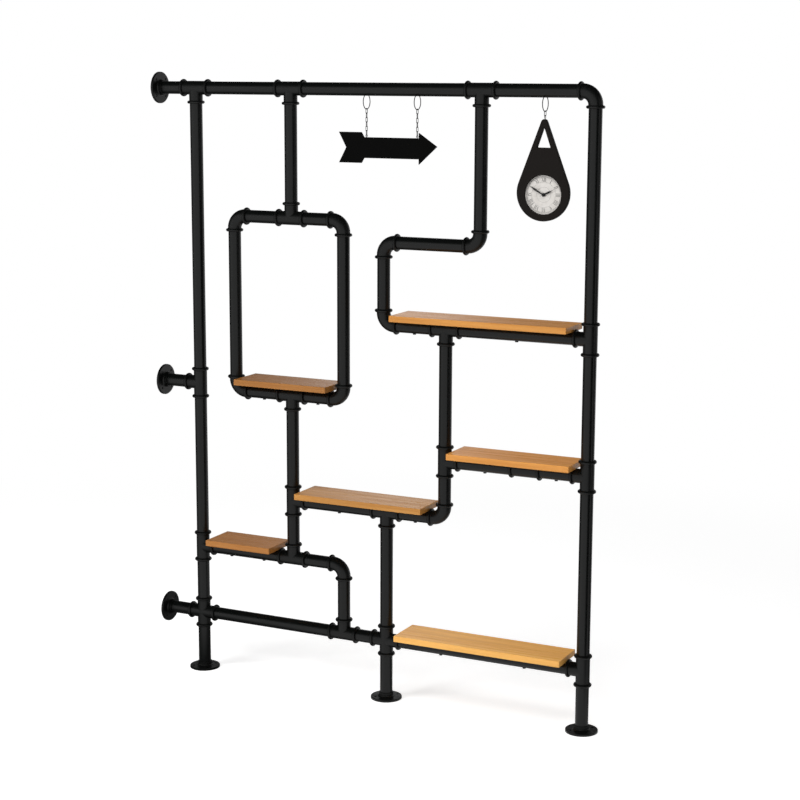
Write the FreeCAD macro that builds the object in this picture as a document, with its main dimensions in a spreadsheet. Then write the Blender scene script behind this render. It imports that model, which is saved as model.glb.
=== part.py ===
import FreeCAD, Part
import math
import os
import re

import Sketcher
from FreeCAD import Placement, Rotation, Vector

# Pipe shelving unit: a frame of black pipe and beaded fittings that stands on three floor flanges and is
# held to a side wall by three more, with six boards, an arrow sign on two chains and a hanging clock.
# X runs along the unit from the wall to the free end, Y to the back and Z up from the floor.

# Driving dimensions in millimetres, degrees or counts. Steps and rises run from pipe axis to pipe axis.
SIZES = {
    # Pipe with its ends turned down to spigots
    "pipe_od": 33.7,
    "pipe_bore": 27.2,
    "spigot_od": 31,
    "spigot_length": 14,
    "fit_gap": 0.05,
    "spigot_end_gap": 0.5,
    "overrun": 5,
    # Beaded fittings
    "fitting_od": 36.3,
    "fitting_reach": 42,
    "collar_od": 46.5,
    "collar_width": 8,
    "bend_radius": 33,
    # Floor and wall flanges
    "flange_od": 84,
    "flange_thickness": 6,
    "flange_rim_round": 1.5,
    "hub_od": 39,
    "hub_height": 17,
    "hub_round": 4,
    "flange_hole": 7,
    "flange_hole_margin": 7.5,
    "flange_hole_count": 4,
    # Columns, each a step along from the one before it
    "left_post_step": 116.5,
    "loop_left_step": 116,
    "drop_step": 175,
    "loop_right_step": 155.5,
    "bend_base_step": 118,
    "middle_post_step": 10.5,
    "riser_step": 168,
    "bend_top_step": 92.5,
    "coupling_step": 134.5,
    "right_post_step": 164.5,
    # Rows, each a rise up from the one before it, the first from the floor
    "foot_rise": 162.5,
    "left_rail_rise": 191,
    "centre_rail_rise": 161,
    "right_rail_rise": 153,
    "loop_rise": 137.5,
    "wall_tee_rise": 12,
    "upper_rail_rise": 196,
    "bend_rise": 215,
    "loop_top_rise": 51.5,
    "top_rail_rise": 337,
    # Boards: a lap runs over the end fitting, a stop ends short of it
    "board_depth": 115,
    "board_thickness": 16,
    "board_round": 1.5,
    "board_gap": 0.1,
    "scallop_gap": 0.6,
    "loop_board_lap": 16.5,
    "centre_board_lap": 7.5,
    "right_board_lap": 13.5,
    "board_stop": 0.8,
    "left_board_stop": 2.5,
    "low_board_stop": 7,
    # Wood screws that hold the boards
    "screw_head_od": 8.5,
    "screw_head_height": 2.6,
    "screw_shank_od": 4.2,
    "screw_bite": 9,
    "screw_tip": 3,
    # Hanging rings through the top rail
    "ring_radius": 18.9,
    "ring_wire": 2.2,
    "ring_drop": 31.5,
    "ring_gap": 0.15,
    "sign_ring_step": 223.5,
    "sign_ring_pitch": 144,
    "clock_ring_step": 169,
    # Chain links, measured inside
    "link_wire": 1.6,
    "link_width": 2.8,
    "link_length": 11.2,
    "link_gap": 0.05,
    "link_count": 6,
    # Screw eyes of the sign and the clock
    "eye_wire": 1.6,
    "eye_lift": 0.5,
    "eye_stem_depth": 9,
    "eye_end_gap": 0.5,
    "sign_eye_radius": 2.4,
    "clock_eye_radius": 3.8,
    # Arrow sign
    "sign_thickness": 4,
    "sign_length": 279,
    "sign_overhang": 79.5,
    "shaft_height": 53,
    "tail_height": 78.5,
    "tail_length": 65,
    "tail_slope": 7.5,
    "tail_notch": 21,
    "head_height": 79.5,
    "head_length": 50.5,
    "tip_rise": 6,
    # Clock plate: a drop that hangs by its tip, measured from the hands' axis
    "plate_thickness": 10,
    "plate_front": 8,
    "plate_height": 184,
    "plate_tip_radius": 8,
    "plate_bowl_radius": 69.5,
    "plate_bowl_lift": 4.4,
    "plate_edge_round": 2,
    "plate_opening": 97,
    "hand_hold_drop": 18,
    "hand_hold_height": 51,
    "hand_hold_base": 36,
    "hand_hold_round": 1.5,
    # Clock drum behind the plate
    "drum_wall": 2.5,
    "drum_lip": 2,
    "drum_depth": 22,
    "drum_rim_od": 122,
    "drum_rim_thickness": 2.5,
    "drum_screw_pcd": 112,
    "drum_screw_count": 4,
    "drum_screw_od": 2.5,
    "drum_screw_head_od": 5,
    "drum_screw_head_height": 1.6,
    "drum_screw_bite": 6,
    # Dial, movement and cell
    "dial_thickness": 1,
    "dial_gap": 0.2,
    "backing_thickness": 2,
    "bush_od": 6.4,
    "bush_proud": 2,
    "nut_width": 8.8,
    "nut_thickness": 1.8,
    "case_width": 56,
    "case_height": 56,
    "case_depth": 16,
    "case_drop": 34,
    "case_floor": 4,
    "cell_od": 14.2,
    "cell_length": 49,
    "cell_nub_od": 5.5,
    "cell_nub_length": 1.5,
    "cell_gap": 0.4,
    "bay_margin": 2.5,
    "knob_od": 12,
    "knob_height": 3,
    "knob_stem_od": 3,
    "knob_stem_depth": 5,
    "knob_side": 15,
    "knob_rise": 9,
    "knob_gap": 0.3,
    # Hands, each on its own arbor, stacked forward from the bush
    "hand_thickness": 0.7,
    "hand_gap": 0.4,
    "arbor_wall": 0.8,
    "second_arbor_od": 1,
    "arbor_depth": 12,
    "hour_hand_length": 25,
    "hour_hand_belly": 4.8,
    "hour_hand_lead": 9,
    "minute_hand_length": 41,
    "minute_hand_belly": 4.8,
    "second_hand_length": 43,
    "second_hand_belly": 0.8,
    "second_hand_tail": 9,
    "hour_hub_od": 7.6,
    "minute_hub_od": 6.4,
    "second_hub_od": 4,
    "shown_hour": 1,
    "shown_minute": 50,
    "shown_second": 10.7,
}

# Places that follow from the sizes: columns along the unit, whose middle is at zero, rows above the floor, and
# the circle of a flange's holes
COLUMN_STEPS = {
    "left_post_x": "left_post_step",
    "loop_left_x": "loop_left_step",
    "drop_x": "drop_step",
    "loop_right_x": "loop_right_step",
    "bend_low_x": "bend_base_step",
    "middle_post_x": "middle_post_step",
    "riser_x": "riser_step",
    "bend_top_x": "bend_top_step",
    "coupling_x": "coupling_step",
    "right_post_x": "right_post_step",
}
ROW_RISES = {
    "low_rail_z": "foot_rise",
    "left_rail_z": "left_rail_rise",
    "centre_rail_z": "centre_rail_rise",
    "right_rail_z": "right_rail_rise",
    "loop_bottom_z": "loop_rise",
    "wall_tee_z": "wall_tee_rise",
    "upper_rail_z": "upper_rail_rise",
    "bend_z": "bend_rise",
    "loop_top_z": "loop_top_rise",
    "top_rail_z": "top_rail_rise",
}


def stacked(start, steps):
    """Each place as the one before it plus its own step."""
    places = {}
    before = start
    for name, step in steps.items():
        places[name] = f"{before} + {step}"
        before = name
    return places


PLACES = {
    "wall_x": f"-({' + '.join(COLUMN_STEPS.values())} + flange_od / 2) / 2",
    **stacked("wall_x", COLUMN_STEPS),
    **stacked("0", ROW_RISES),
    "sign_ring_x": "drop_x + sign_ring_step",
    "clock_ring_x": "bend_top_x + clock_ring_step",
    "flange_pcd": "flange_od - flange_hole - 2 * flange_hole_margin",
}

# Shares of the length that they lie along
BELLY_SHARE = 0.62
MIDDLE_SCREW_SHARES = (0.5,)
END_SCREW_SHARES = (0.25, 0.75)

# Columns of the hanging rings
SIGN_COLUMNS = {"left": "sign_ring_x", "right": "sign_ring_x + sign_ring_pitch"}
CLOCK_X = "clock_ring_x"

# Turns that point a piece's own Z another way
ALONG_X = Rotation(Vector(0, 1, 0), 90)
AGAINST_X = Rotation(Vector(0, 1, 0), -90)
ALONG_Y = Rotation(Vector(1, 0, 0), -90)
ALONG_Z = Rotation()
AGAINST_Z = Rotation(Vector(0, 1, 0), 180)
QUARTER = Rotation(Vector(0, 0, 1), 90)

doc = FreeCAD.newDocument("pipe_shelving_unit")
sheet = doc.addObject("Spreadsheet::Sheet", "Sizes")
for row, (alias, number) in enumerate(SIZES.items(), start=1):
    sheet.set(f"A{row}", alias)
    sheet.set(f"B{row}", str(number))
    sheet.setAlias(f"B{row}", alias)
doc.recompute()

nodes = []


# Tools for building from named sizes

def bound(text):
    """An expression in which each named size is read from the sheet, and each named place from its list."""
    def owned(word):
        name = word[0]
        return f"Sizes.{name}" if name in SIZES else f"Places.{name}" if name in PLACES else name
    return re.sub(r"[a-z_]+", owned, text)


places = doc.addObject("App::VarSet", "Places")
for name, text in PLACES.items():
    places.addProperty("App::PropertyFloat", name)
    places.setExpression(name, bound(text))
doc.recompute()


def value(text):
    return float(sheet.evalExpression(bound(text)))


def bind(thing, at=(), **sizes):
    for name, text in sizes.items():
        thing.setExpression(name, bound(text))
    for axis, text in zip("xyz", at):
        thing.setExpression(f"Placement.Base.{axis}", bound(text))
    return thing


def place(thing, at, turn=ALONG_Z):
    thing.Placement = Placement(Vector(), turn)
    return bind(thing, at)


def primitive(kind, name, at=("0", "0", "0"), turn=ALONG_Z, **sizes):
    thing = doc.addObject(f"Part::{kind}", name)
    bind(thing, **sizes)
    return place(thing, at, turn)


def fuse(name, pieces):
    thing = doc.addObject("Part::MultiFuse", name)
    thing.Shapes = pieces
    thing.Refine = True
    return thing


def cut(name, base, tools):
    thing = doc.addObject("Part::Cut", name)
    thing.Base = base
    thing.Tool = tools[0] if len(tools) == 1 else fuse(f"{name}_tools", tools)
    return thing


def copy_of(master, name, at=("0", "0", "0"), turn=ALONG_Z):
    thing = doc.addObject("App::Link", name)
    thing.LinkedObject = master
    thing.LinkTransform = False
    return place(thing, at, turn)


def node(name, pieces):
    """One named sub-part, made of one or more separate pieces."""
    thing = doc.addObject("Part::Compound", name)
    thing.Links = pieces
    thing.Label = name
    nodes.append(thing)
    return thing


def sketch_on(body, name, role):
    plane = next(feature for feature in body.Origin.OriginFeatures if feature.Role == role)
    sketch = body.newObject("Sketcher::SketchObject", name)
    sketch.AttachmentSupport = [(plane, "")]
    sketch.MapMode = "FlatFace"
    return sketch


def constrain(sketch, text, kind, *picks):
    index = sketch.addConstraint(Sketcher.Constraint(kind, *picks, value(text)))
    if value(text):
        sketch.setExpression(f"Constraints[{index}]", bound(text))


def polygon(body, name, role, corners):
    """A closed outline whose corners are pairs of expressions."""
    sketch = sketch_on(body, name, role)
    spots = [Vector(value(across), value(up), 0) for across, up in corners]
    count = len(corners)
    for index in range(count):
        sketch.addGeometry(Part.LineSegment(spots[index], spots[(index + 1) % count]))
    for index, (across, up) in enumerate(corners):
        sketch.addConstraint(Sketcher.Constraint("Coincident", index, 2, (index + 1) % count, 1))
        constrain(sketch, across, "DistanceX", -1, 1, index, 1)
        constrain(sketch, up, "DistanceY", -1, 1, index, 1)
    return sketch


def turned(name, profile):
    """A piece turned about Z from pairs of radius and height."""
    body = doc.addObject("PartDesign::Body", name)
    sketch = polygon(body, f"{name}_profile", "XZ_Plane", profile)
    revolution = body.newObject("PartDesign::Revolution", f"{name}_turned")
    revolution.Profile = sketch
    revolution.ReferenceAxis = (sketch, ["V_Axis"])
    revolution.Angle = 360
    return body


def padded(name, role, corners, thickness):
    """A plate of the given outline, half its thickness each side of the plane."""
    body = doc.addObject("PartDesign::Body", name)
    return pad(body, polygon(body, f"{name}_outline", role, corners), thickness)


def pad(body, sketch, thickness):
    feature = body.newObject("PartDesign::Pad", f"{body.Name}_pad")
    feature.Profile = sketch
    feature.Midplane = True
    bind(feature, Length=thickness)
    return body


def pocket(body, sketch):
    """A cut right through the plate."""
    feature = body.newObject("PartDesign::Pocket", f"{sketch.Name}_cut")
    feature.Profile = sketch
    feature.Type = "ThroughAll"
    feature.Midplane = True
    return feature


def rounded(body, name, radius, chosen):
    """Fillets the edges that the test picks on the body as it stands."""
    doc.recompute()
    base = body.Tip
    edges = [f"Edge{number}" for number, edge in enumerate(base.Shape.Edges, start=1) if chosen(edge)]
    feature = body.newObject("PartDesign::Fillet", name)
    feature.Base = (base, edges)
    bind(feature, Radius=radius)
    return body


def matches(length, text):
    return math.isclose(length, value(text), abs_tol=1e-4)


def lies_at(edge, axis, text):
    """Whether a whole edge lies at one height along an axis."""
    box = edge.BoundBox
    return matches(getattr(box, f"{axis}Min"), text) and matches(getattr(box, f"{axis}Max"), text)


# Beaded fittings: each arm is a barrel that ends in a rounded collar, with a socket for a pipe's spigot

def arm_shell(name, start):
    bead_core = "(collar_od - collar_width) / 2"
    return fuse(name, [
        primitive("Cylinder", f"{name}_barrel", at=("0", "0", start),
                  Radius="fitting_od / 2", Height=f"fitting_reach - {start}"),
        primitive("Cylinder", f"{name}_collar", at=("0", "0", "fitting_reach - collar_width"),
                  Radius=bead_core, Height="collar_width"),
        primitive("Torus", f"{name}_bead", at=("0", "0", "fitting_reach - collar_width / 2"),
                  Radius1=bead_core, Radius2="collar_width / 2"),
    ])


SOCKET_DEPTH = "(spigot_length + spigot_end_gap)"
SOCKET_RADIUS = "(spigot_od / 2 + fit_gap)"


def arm_bore(name, start):
    return fuse(name, [
        primitive("Cylinder", f"{name}_way", at=("0", "0", start),
                  Radius="pipe_bore / 2", Height=f"fitting_reach - {start} + overrun"),
        primitive("Cylinder", f"{name}_socket", at=("0", "0", f"fitting_reach - {SOCKET_DEPTH}"),
                  Radius=SOCKET_RADIUS, Height=f"{SOCKET_DEPTH} + overrun"),
    ])


def turned_copies(master, name, turns):
    return [copy_of(master, f"{name}_{index}", turn=turn) for index, turn in enumerate(turns)]


def straight_fitting(name, turns):
    """A fitting whose arms meet at its centre: a coupling, a tee or a cross."""
    shell = fuse(f"{name}_shell", turned_copies(straight_shell, f"{name}_arm", turns))
    return cut(name, shell, turned_copies(straight_bore, f"{name}_bore", turns))


straight_shell = arm_shell("straight_shell", "0")
straight_bore = arm_bore("straight_bore", "0")
coupling = straight_fitting("coupling", (ALONG_X, AGAINST_X))
tee = straight_fitting("tee", (ALONG_X, AGAINST_X, ALONG_Z))
cross = straight_fitting("cross", (ALONG_X, AGAINST_X, ALONG_Z, AGAINST_Z))


def quarter_bend(name, radius):
    """The bend from the +X arm round to the +Z arm of an elbow."""
    turn = Rotation(Vector(0, 0, -1), Vector(-1, 0, 0), Vector(0, 1, 0), "ZXY")
    bend = primitive("Torus", name, at=("bend_radius", "0", "bend_radius"), turn=turn,
                     Radius1="bend_radius", Radius2=radius)
    bend.Angle3 = 90
    return bend


ELBOW_ARMS = (ALONG_X, ALONG_Z)
bend_shell = arm_shell("bend_shell", "bend_radius")
bend_bore = arm_bore("bend_bore", "bend_radius")
elbow_shell = fuse("elbow_shell", [quarter_bend("elbow_bend", "fitting_od / 2")]
                   + turned_copies(bend_shell, "elbow_arm", ELBOW_ARMS))
elbow = cut("elbow", elbow_shell, [quarter_bend("elbow_way", "pipe_bore / 2")]
            + turned_copies(bend_bore, "elbow_bore", ELBOW_ARMS))

# A tee's branch, or the corner between an elbow's arms, is turned about Y from where its master has it.
QUARTER_TURNS = [Rotation(Vector(0, 1, 0), quarter * 90) for quarter in range(4)]
BRANCH_UP, BRANCH_RIGHT, BRANCH_DOWN, BRANCH_LEFT = QUARTER_TURNS
RIGHT_UP, RIGHT_DOWN, LEFT_DOWN, LEFT_UP = QUARTER_TURNS


def fittings(name, master, spots):
    node(name, [
        copy_of(master, f"{name}_{index}", at=(column, "0", level), turn=turn)
        for index, (column, level, turn) in enumerate(spots)
    ])


fittings("top_rail_tees", tee, [
    ("left_post_x", "top_rail_z", BRANCH_DOWN),
    ("drop_x", "top_rail_z", BRANCH_DOWN),
    ("bend_top_x", "top_rail_z", BRANCH_DOWN),
])
fittings("left_post_tees", tee, [
    ("left_post_x", "left_rail_z", BRANCH_RIGHT),
    ("left_post_x", "wall_tee_z", BRANCH_LEFT),
])
fittings("right_post_tees", tee, [
    ("right_post_x", "low_rail_z", BRANCH_LEFT),
    ("right_post_x", "right_rail_z", BRANCH_LEFT),
    ("right_post_x", "upper_rail_z", BRANCH_LEFT),
])
fittings("loop_tees", tee, [
    ("drop_x", "loop_top_z", BRANCH_UP),
    ("drop_x", "loop_bottom_z", BRANCH_DOWN),
])
fittings("drop_post_tees", tee, [
    ("drop_x", "centre_rail_z", BRANCH_RIGHT),
    ("drop_x", "left_rail_z", BRANCH_UP),
])
fittings("shelf_rail_tees", tee, [
    ("middle_post_x", "centre_rail_z", BRANCH_DOWN),
    ("riser_x", "right_rail_z", BRANCH_RIGHT),
    ("riser_x", "upper_rail_z", BRANCH_DOWN),
])
fittings("low_rail_tee", tee, [("loop_right_x", "low_rail_z", BRANCH_UP)])
fittings("low_rail_crosses", cross, [
    ("left_post_x", "low_rail_z", BRANCH_UP),
    ("middle_post_x", "low_rail_z", BRANCH_UP),
])
fittings("top_corner_elbow", elbow, [("right_post_x", "top_rail_z", LEFT_DOWN)])
fittings("loop_elbows", elbow, [
    ("loop_left_x", "loop_top_z", RIGHT_DOWN),
    ("loop_right_x", "loop_top_z", LEFT_DOWN),
    ("loop_left_x", "loop_bottom_z", RIGHT_UP),
    ("loop_right_x", "loop_bottom_z", LEFT_UP),
])
fittings("double_bend_elbows", elbow, [
    ("bend_top_x", "bend_z", LEFT_UP),
    ("bend_low_x", "bend_z", RIGHT_DOWN),
    ("bend_low_x", "upper_rail_z", RIGHT_UP),
])
fittings("step_elbows", elbow, [
    ("riser_x", "centre_rail_z", LEFT_UP),
    ("loop_right_x", "left_rail_z", LEFT_DOWN),
])
fittings("right_rail_coupling", coupling, [("coupling_x", "right_rail_z", BRANCH_UP)])

# Floor and wall flanges: a disc with a filleted hub, a socket for the pipe and four fixing holes
flange = turned("flange", [
    ("pipe_bore / 2", "0"),
    ("flange_od / 2", "0"),
    ("flange_od / 2", "flange_thickness"),
    ("hub_od / 2", "flange_thickness"),
    ("hub_od / 2", "hub_height"),
    (SOCKET_RADIUS, "hub_height"),
    (SOCKET_RADIUS, f"hub_height - {SOCKET_DEPTH}"),
    ("pipe_bore / 2", f"hub_height - {SOCKET_DEPTH}"),
])
rounded(flange, "flange_hub_fillet", "hub_round",
        lambda edge: lies_at(edge, "Z", "flange_thickness") and matches(edge.BoundBox.XMax, "hub_od / 2"))
rounded(flange, "flange_rim_fillet", "flange_rim_round",
        lambda edge: lies_at(edge, "Z", "flange_thickness") and matches(edge.BoundBox.XMax, "flange_od / 2"))
hole_sketch = sketch_on(flange, "flange_hole_sketch", "XY_Plane")
hole_side = "flange_pcd / 2 / sqrt(2)"
hole_sketch.addGeometry(
    Part.Circle(Vector(value(hole_side), value(hole_side), 0), Vector(0, 0, 1), value("flange_hole / 2")))
constrain(hole_sketch, "flange_hole", "Diameter", 0)
constrain(hole_sketch, hole_side, "DistanceX", -1, 1, 0, 3)
constrain(hole_sketch, hole_side, "DistanceY", -1, 1, 0, 3)
flange_hole = pocket(flange, hole_sketch)
flange_holes = flange.newObject("PartDesign::PolarPattern", "flange_holes")
flange_holes.Originals = [flange_hole]
flange_holes.Axis = (next(axis for axis in flange.Origin.OriginFeatures if axis.Role == "Z_Axis"), [""])
flange_holes.Angle = 360
bind(flange_holes, Occurrences="flange_hole_count")
flange.Tip = flange_holes

for side in ("left", "middle", "right"):
    node(f"{side}_floor_flange", [copy_of(flange, f"{side}_foot", at=(f"{side}_post_x", "0", "0"))])
for height, level in (("top", "top_rail_z"), ("middle", "wall_tee_z"), ("bottom", "low_rail_z")):
    anchor = copy_of(flange, f"{height}_anchor", at=("wall_x", "0", level), turn=ALONG_X)
    node(f"{height}_wall_flange", [anchor])


# Pipes: each runs from shoulder to shoulder, and its spigots go on into the sockets at both ends

def pipe(name, start, end, line, drill_shares=(), ring_columns=()):
    """A length along X at a row, or along Z at a column, with any screw and ring holes."""
    along_x = line.endswith("_z")
    length = f"(({end}) - ({start}))"
    thing = turned(f"{name}_tube", [
        ("pipe_bore / 2", "0"),
        ("spigot_od / 2", "0"),
        ("spigot_od / 2", "spigot_length"),
        ("pipe_od / 2", "spigot_length"),
        ("pipe_od / 2", f"spigot_length + {length}"),
        ("spigot_od / 2", f"spigot_length + {length}"),
        ("spigot_od / 2", f"2 * spigot_length + {length}"),
        ("pipe_bore / 2", f"2 * spigot_length + {length}"),
    ])
    holes = [
        primitive("Cylinder", f"{name}_screw_hole_{index}", turn=ALONG_X,
                  at=("-pipe_od / 2 - overrun", "0", f"spigot_length + {length} * {share}"),
                  Radius="screw_shank_od / 2 + fit_gap", Height="pipe_od + 2 * overrun")
        for index, share in enumerate(drill_shares)
    ]
    holes += [
        primitive("Torus", f"{name}_ring_hole_{index}",
                  at=("ring_drop", "0", f"{column} - ({start}) + spigot_length"),
                  Radius1="ring_radius", Radius2="ring_wire / 2 + ring_gap")
        for index, column in enumerate(ring_columns)
    ]
    if holes:
        thing = cut(name, thing, holes)
    first = f"{start} - spigot_length"
    if along_x:
        return place(thing, (first, "0", line), ALONG_X)
    return place(thing, (line, "0", first))


def between(low, high):
    """Shoulders of a pipe that joins two fittings."""
    return f"{low} + fitting_reach", f"{high} - fitting_reach"


def from_floor(high):
    return "hub_height", f"{high} - fitting_reach"


node("left_post_pipes", [
    pipe("left_foot_pipe", *from_floor("low_rail_z"), "left_post_x"),
    pipe("left_post_low", *between("low_rail_z", "left_rail_z"), "left_post_x"),
    pipe("left_post_middle", *between("left_rail_z", "wall_tee_z"), "left_post_x"),
    pipe("left_post_top", *between("wall_tee_z", "top_rail_z"), "left_post_x"),
])
node("wall_nipples", [
    pipe(f"{level}_nipple", "wall_x + hub_height", "left_post_x - fitting_reach", level)
    for level in ("top_rail_z", "wall_tee_z", "low_rail_z")
])
node("right_post_pipes", [
    pipe("right_foot_pipe", *from_floor("low_rail_z"), "right_post_x"),
    pipe("right_post_low", *between("low_rail_z", "right_rail_z"), "right_post_x"),
    pipe("right_post_middle", *between("right_rail_z", "upper_rail_z"), "right_post_x"),
    pipe("right_post_top", *between("upper_rail_z", "top_rail_z"), "right_post_x"),
])
node("middle_post_pipes", [
    pipe("middle_foot_pipe", *from_floor("low_rail_z"), "middle_post_x"),
    pipe("middle_post", *between("low_rail_z", "centre_rail_z"), "middle_post_x"),
])
node("top_rail_pipes", [
    pipe("top_rail_left", *between("left_post_x", "drop_x"), "top_rail_z"),
    pipe("top_rail_middle", *between("drop_x", "bend_top_x"), "top_rail_z",
         ring_columns=SIGN_COLUMNS.values()),
    pipe("top_rail_right", *between("bend_top_x", "right_post_x"), "top_rail_z", ring_columns=(CLOCK_X,)),
])
node("low_rail_pipes", [
    pipe("low_rail_left", *between("left_post_x", "loop_right_x"), "low_rail_z"),
    pipe("low_rail_middle", *between("loop_right_x", "middle_post_x"), "low_rail_z"),
    pipe("low_rail_right", *between("middle_post_x", "right_post_x"), "low_rail_z", END_SCREW_SHARES),
])
node("loop_pipes", [
    pipe("loop_top_left", *between("loop_left_x", "drop_x"), "loop_top_z"),
    pipe("loop_top_right", *between("drop_x", "loop_right_x"), "loop_top_z"),
    pipe("loop_left", *between("loop_bottom_z", "loop_top_z"), "loop_left_x"),
    pipe("loop_right", *between("loop_bottom_z", "loop_top_z"), "loop_right_x"),
    pipe("loop_low_left", *between("loop_left_x", "drop_x"), "loop_bottom_z", MIDDLE_SCREW_SHARES),
    pipe("loop_low_right", *between("drop_x", "loop_right_x"), "loop_bottom_z", MIDDLE_SCREW_SHARES),
])
node("drop_post_pipes", [
    pipe("drop_post_top", *between("loop_top_z", "top_rail_z"), "drop_x"),
    pipe("drop_post_middle", *between("centre_rail_z", "loop_bottom_z"), "drop_x"),
    pipe("drop_post_low", *between("left_rail_z", "centre_rail_z"), "drop_x"),
])
node("centre_rail_pipes", [
    pipe("centre_rail_left", *between("drop_x", "middle_post_x"), "centre_rail_z", MIDDLE_SCREW_SHARES),
    pipe("centre_rail_right", *between("middle_post_x", "riser_x"), "centre_rail_z", MIDDLE_SCREW_SHARES),
    pipe("riser_low", *between("centre_rail_z", "right_rail_z"), "riser_x"),
    pipe("riser_top", *between("right_rail_z", "upper_rail_z"), "riser_x"),
])
node("left_step_pipes", [
    pipe("left_rail", *between("left_post_x", "drop_x"), "left_rail_z", END_SCREW_SHARES),
    pipe("step_rail", *between("drop_x", "loop_right_x"), "left_rail_z"),
    pipe("step_drop", *between("low_rail_z", "left_rail_z"), "loop_right_x"),
])
node("double_bend_pipes", [
    pipe("bend_drop", *between("bend_z", "top_rail_z"), "bend_top_x"),
    pipe("bend_rail", *between("bend_low_x", "bend_top_x"), "bend_z"),
    pipe("bend_low", *between("upper_rail_z", "bend_z"), "bend_low_x"),
])
node("right_rail_pipes", [
    pipe("upper_rail_left", *between("bend_low_x", "riser_x"), "upper_rail_z", MIDDLE_SCREW_SHARES),
    pipe("upper_rail_right", *between("riser_x", "right_post_x"), "upper_rail_z", MIDDLE_SCREW_SHARES),
    pipe("right_rail_left", *between("riser_x", "coupling_x"), "right_rail_z", MIDDLE_SCREW_SHARES),
    pipe("right_rail_right", *between("coupling_x", "right_post_x"), "right_rail_z", MIDDLE_SCREW_SHARES),
])

# Boards: each lies on its rail, scalloped underneath where a fitting stands proud of the pipe, and is held
# by two screws that come up through the rail.
arm_room = fuse("arm_room", [
    primitive("Cylinder", "arm_room_barrel", Radius="fitting_od / 2 + scallop_gap", Height="fitting_reach"),
    primitive("Cylinder", "arm_room_collar", at=("0", "0", "fitting_reach - collar_width - scallop_gap"),
              Radius="collar_od / 2 + scallop_gap", Height="collar_width + 2 * scallop_gap"),
])
PIPE_TOP = "pipe_od / 2"
COLLAR_TOP = "collar_od / 2"


def screw(name, seat):
    """A round-headed wood screw that reaches from under the rail into a board at the given seat."""
    shank = f"screw_head_height + pipe_od / 2 + {seat} + board_gap + screw_bite"
    return turned(name, [
        ("0", "0"),
        ("screw_head_od / 2", "0"),
        ("screw_head_od / 2", "screw_head_height"),
        ("screw_shank_od / 2", "screw_head_height"),
        ("screw_shank_od / 2", f"{shank} - screw_tip"),
        ("0", shank),
    ])


pipe_screw = screw("pipe_screw", PIPE_TOP)
collar_screw = screw("collar_screw", COLLAR_TOP)
shelf_screws = []


def board(name, line, columns, laps, seat=PIPE_TOP, right_arms=(), left_arms=()):
    """A board over the rail through the given columns, with room for the arms that point right or left."""
    first_lap, last_lap = laps
    start = f"({columns[0]} + fitting_reach - {first_lap})"
    end = f"({columns[-1]} - fitting_reach + {last_lap})"
    half = "board_depth / 2"
    length = f"({end} - {start})"
    plank = padded(f"{name}_plank", "XY_Plane",
                   [("0", f"-{half}"), (length, f"-{half}"), (length, half), ("0", half)], "board_thickness")
    rounded(plank, f"{name}_arris", "board_round", lambda edge: True)
    place(plank, (start, "0", f"{line} + {seat} + board_gap + board_thickness / 2"))
    tools = [copy_of(arm_room, f"{name}_{column}_arm_{index}", at=(column, "0", line), turn=turn)
             for index, (turn, arms) in enumerate(((ALONG_X, right_arms), (AGAINST_X, left_arms)))
             for column in arms]
    for index, column in enumerate(screw_places(columns)):
        tools.append(primitive("Cylinder", f"{name}_pilot_{index}", at=(column, "0", line),
                               Radius="screw_shank_od / 2 + fit_gap",
                               Height=f"{seat} + board_gap + screw_bite"))
        shelf_screws.append(copy_of(pipe_screw if seat == PIPE_TOP else collar_screw, f"{name}_screw_{index}",
                                    at=(column, "0", f"{line} - pipe_od / 2 - screw_head_height")))
    node(name, [cut(f"{name}_drilled", plank, tools)])


def screw_places(columns):
    """A screw in the middle of each pipe of the rail, or two in the only one."""
    shares = END_SCREW_SHARES if len(columns) == 2 else MIDDLE_SCREW_SHARES
    shoulders = [between(*pair) for pair in zip(columns, columns[1:])]
    return [f"{start} + (({end}) - ({start})) * {share}" for start, end in shoulders for share in shares]


board("loop_board", "loop_bottom_z", ("loop_left_x", "drop_x", "loop_right_x"),
      laps=("loop_board_lap", "loop_board_lap"), seat=COLLAR_TOP)
board("centre_board", "centre_rail_z", ("drop_x", "middle_post_x", "riser_x"),
      laps=("centre_board_lap", "(-board_stop)"),
      right_arms=("drop_x", "middle_post_x"), left_arms=("middle_post_x",))
board("left_board", "left_rail_z", ("left_post_x", "drop_x"),
      laps=("(-left_board_stop)", "(-left_board_stop)"))
board("upper_board", "upper_rail_z", ("bend_low_x", "riser_x", "right_post_x"),
      laps=("(-board_stop)", "(-board_stop)"), right_arms=("riser_x",), left_arms=("riser_x",))
board("right_board", "right_rail_z", ("riser_x", "coupling_x", "right_post_x"),
      laps=("right_board_lap", "right_board_lap"),
      right_arms=("riser_x", "coupling_x"), left_arms=("coupling_x", "right_post_x"))
board("low_board", "low_rail_z", ("middle_post_x", "right_post_x"),
      laps=("(-low_board_stop)", "(-board_stop)"))
node("shelf_screws", shelf_screws)

# Hanging rings: wire rings that pass through the underside of the top rail
RING_CENTRE = "top_rail_z - ring_drop"


def ring(name, column):
    return primitive("Torus", name, at=(column, "0", RING_CENTRE), turn=ALONG_X,
                     Radius1="ring_radius", Radius2="ring_wire / 2")


node("sign_rings", [ring(f"{side}_sign_ring", column) for side, column in SIGN_COLUMNS.items()])
node("clock_ring", [ring("clock_ring_wire", CLOCK_X)])

# Chain links: each is two bows and two straight sides of round wire. The first hangs in a ring, and each
# next one hangs in the bow above it, a quarter turn round.
BOW_RADIUS = "(link_width + link_wire) / 2"
BOW_OFFSET = "(link_length - link_width) / 2"


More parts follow.
